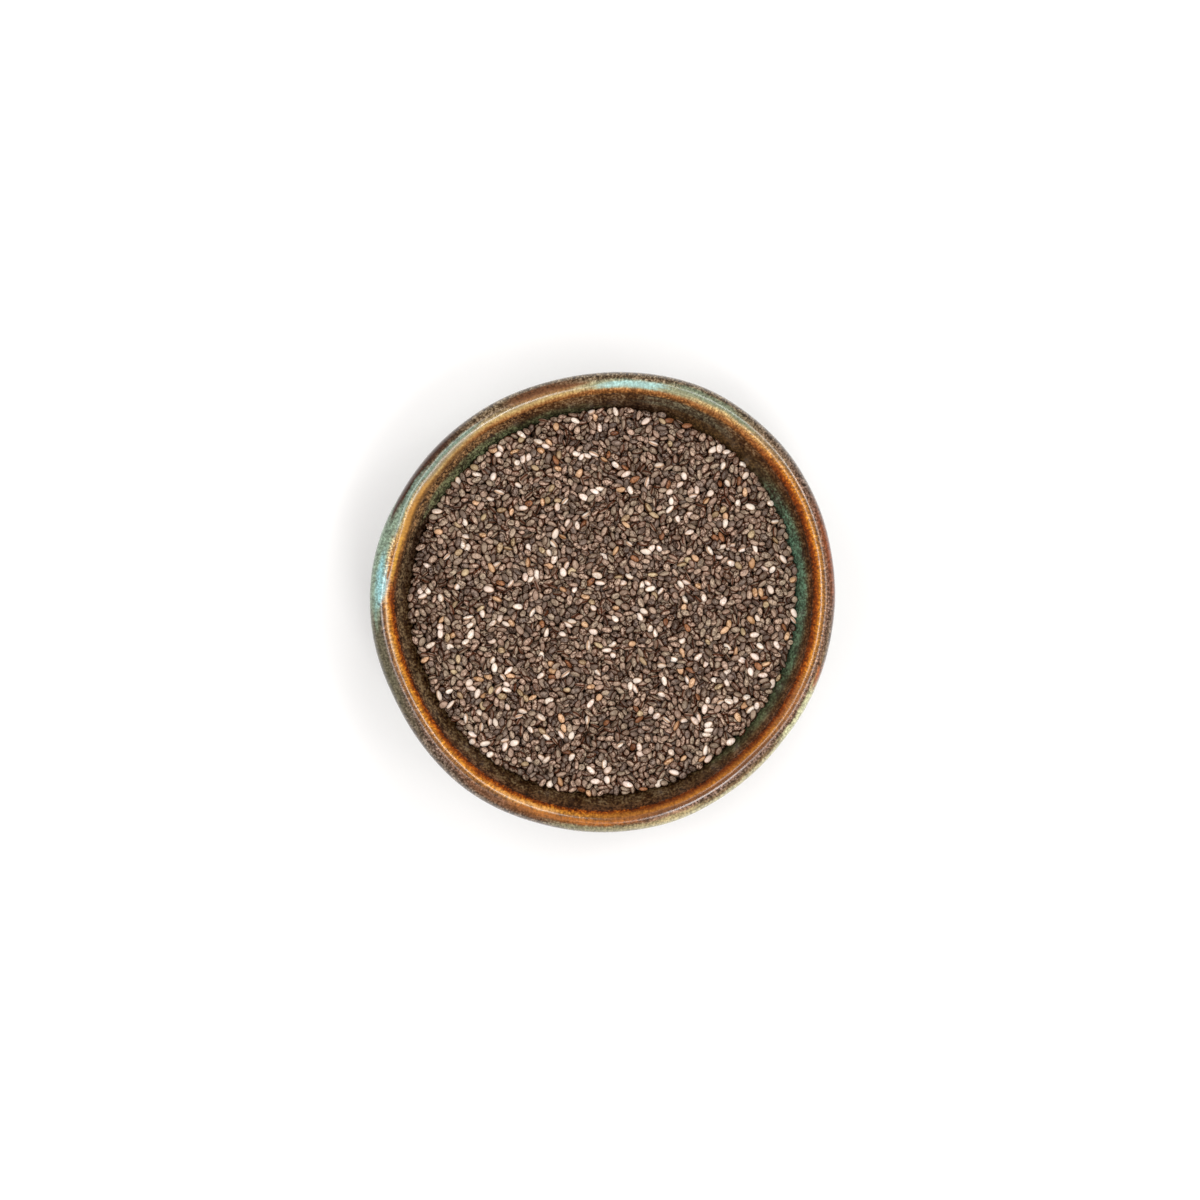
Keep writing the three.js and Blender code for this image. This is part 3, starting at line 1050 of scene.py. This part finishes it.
def makeSeeds(seeds):
    rng = np.random.default_rng(seedCoat["shuffle"])
    points, faces = seedTemplate()
    spots = seedPatches(points, faces)
    names, kinds = sortSeeds(seeds, rng)
    for index, name in enumerate(names):
        mine = [seed for seed, kind in zip(seeds, kinds) if kind == index]
        count = len(mine)
        place = np.array([seed["place"] for seed in mine]) - (*middle, 0)
        turn = np.array([seed["turn"] for seed in mine])
        local = points[None] * np.array([seed["half"] for seed in mine])[:, None]
        verts = (np.einsum("kij,kvj->kvi", turn, local) + place[:, None]) * mm
        data = copyTemplate(name + "_seeds", verts, faces, spots)
        coat = local + rng.uniform(-40, 40, (count, 1, 3))  # another part of the marbling for each seed
        data.attributes.new("coat", "FLOAT_VECTOR", "POINT").data.foreach_set("vector", coat.ravel())
        perPoint = {}
        for label in ("tone", "warmth", "fleck"):
            perPoint[label] = np.repeat(rng.random(count), len(points))
        # crown and sunk carry the painted shade of the seed rims and of the deeper seeds
        perPoint["crown"] = np.tile(np.abs(points[:, 2]), count)
        x, y, z = (verts / mm + (*middle, 0)).reshape(-1, 3).T
        perPoint["sunk"] = heapTop(x, y) - z
        for label, values in perPoint.items():
            data.attributes.new(label, "FLOAT", "POINT").data.foreach_set("value", values)
        data.update(calc_edges=True)
        data.validate()
        data.shade_smooth()
        data.materials.append(seedMaterial(name, seedKinds[name]))
        piece = bpy.data.objects.new(name + "_seeds", data)
        collection.objects.link(piece)
        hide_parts("chia_seeds")
        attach(piece, "root")
        print(name, "seeds:", count)


def makeCore(relief, line):
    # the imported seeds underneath: relief on one closed body
    ground, owner = relief
    tone = np.random.default_rng(core["shuffle"]).random(owner.max() + 2)[owner]
    bm = bmesh.new()
    cells = int(2 * edgeRadius / core["cell"]) + 6
    bmesh.ops.create_grid(bm, x_segments=cells, y_segments=cells, size=cells * core["cell"] / 2)
    limit = edgeRadius - core["edgeGap"]
    outside = [vert for vert in bm.verts if unthrown(vert.co.x, vert.co.y, edgeLevel) > limit]
    bmesh.ops.delete(bm, geom=outside, context="VERTS")
    toneLayer = bm.verts.layers.float.new("tone")
    reach = (len(line) - 1) / 2
    for vert in bm.verts:
        i, j = round(vert.co.x / heap["cell"] + reach), round(vert.co.y / heap["cell"] + reach)
        vert[toneLayer] = tone[i, j]
        vert.co.z = ground[i, j]
    rim = [edge for edge in bm.edges if edge.is_boundary]
    for _ in range(core["steps"]):
        grown = bmesh.ops.extrude_edge_only(bm, edges=rim)["geom"]
        rim = [part for part in grown if isinstance(part, bmesh.types.BMEdge) and part.is_boundary]
        for vert in {vert for edge in rim for vert in edge.verts}:
            vert.co.z -= core["stepHeight"]
            radius = math.hypot(vert.co.x, vert.co.y)
            limit = float(np.interp(vert.co.z, wallHeights, wallRadii)) - core["wallGap"]
            vert.co.x *= min(1, limit / radius)
            vert.co.y *= min(1, limit / radius)
    for vert in {vert for edge in rim for vert in edge.verts}:
        vert.co.z = bowlShape["recess"] + bowlShape["floorThickness"] + core["floorGap"]
    bmesh.ops.holes_fill(bm, edges=rim, sides=0)
    bmesh.ops.recalc_face_normals(bm, faces=bm.faces)
    toOrigin = Matrix.Translation((-middle[0] * mm, -middle[1] * mm, 0))
    bmesh.ops.transform(bm, matrix=toOrigin @ Matrix.Scale(mm, 4), verts=bm.verts)
    piece = meshObject(bm, "seed_core")
    piece.data.materials.append(coreMaterial())
    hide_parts("chia_seeds")
    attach(piece, "root")
    print("core:", len(piece.data.polygons), "faces")


def makeMarbling():
    # the pale flecks and dark veins of a seed coat, on coordinates in mm that go with each seed
    group, given, put = newGroup("marbling", {"Coat": None, "Tone": 0.5, "Fleck": 0.5}, "Light")
    flecks = ramp(group, noiseAt(group, given["Coat"], seedCoat["flecks"], 1.0, 0.5), 0.38, 0.62)
    veins = ramp(group, noiseAt(group, given["Coat"], seedCoat["veins"], 1.0, 0.5), 0.36, 0.56)
    pattern = calc(group, "MULTIPLY", flecks, calc(group, "MULTIPLY_ADD", veins, 0.65, 0.35))
    amount = calc(group, "MULTIPLY_ADD", given["Fleck"], 0.8, 0.2)
    pattern = calc(group, "MULTIPLY", calc(group, "SUBTRACT", pattern, 0.2), amount)
    tone = calc(group, "MULTIPLY_ADD", given["Tone"], 0.5, 0.095)
    wire(group, put, calc(group, "ADD", pattern, tone))
    return group


marblingGroup = makeMarbling()


def seedMaterial(name, look):
    material, tree, shader = emptyMaterial(name + "SeedCoat")
    coat = attribute(tree, "coat", "Vector")
    tone = attribute(tree, "tone")
    warmth = attribute(tree, "warmth")
    fleck = attribute(tree, "fleck")
    crown = attribute(tree, "crown")  # 0 round the seed's thin rim, 1 on its flat faces
    sunk = attribute(tree, "sunk")  # how deep below the top of the heap, in mm
    light = useGroup(tree, marblingGroup, Coat=coat, Tone=tone, Fleck=fleck)["Light"]
    colour = blendColour(tree, light, srgb(look["dark"]), srgb(look["light"]))
    # painted shade: the colour turns to the edge colour round each seed's thin rim and deeper below the top
    # of the heap, where shade falls; the wax coat thins there too
    unshadedShare = calc(tree, "MULTIPLY", ramp(tree, crown, 0.1, 0.7), ramp(tree, sunk, 0.4, 1.6, 1.0, 0.15))
    colour = blendColour(tree, unshadedShare, srgb(look["edge"]), colour)
    tint = blendColour(tree, warmth, seedCoat["cool"], seedCoat["warm"])
    colour = blendColour(tree, 1.0, colour, tint, "MULTIPLY")
    wire(tree, shader.inputs["Base Color"], colour)
    shader.inputs["Roughness"].default_value = seedCoat["roughness"]
    shader.inputs["Specular IOR Level"].default_value = seedCoat["sheen"]
    wire(tree, shader.inputs["Coat Weight"], calc(tree, "MULTIPLY", unshadedShare, seedCoat["wax"]))
    shader.inputs["Coat Roughness"].default_value = seedCoat["waxRoughness"]
    return material


def coreMaterial():
    material, tree, shader = emptyMaterial("packedSeedsPaintedShade")
    tone = attribute(tree, "tone")
    place = tree.nodes.new("ShaderNodeTexCoord").outputs["Object"]
    coat = vectorCalc(tree, "DIVIDE", place, (mm, mm, mm))
    light = useGroup(tree, marblingGroup, Coat=coat, Tone=tone)["Light"]
    # painted shade: darker seed colours for the gaps between the loose seeds
    colour = blendColour(tree, light, srgb(core["dark"]), srgb(core["light"]))
    wire(tree, shader.inputs["Base Color"], colour)
    shader.inputs["Roughness"].default_value = core["roughness"]
    shader.inputs["Specular IOR Level"].default_value = core["sheen"]
    return material


seeds, relief, line = dropSeeds()
makeCore(relief, line)
makeSeeds(seeds)
print("bowl filled with seeds")
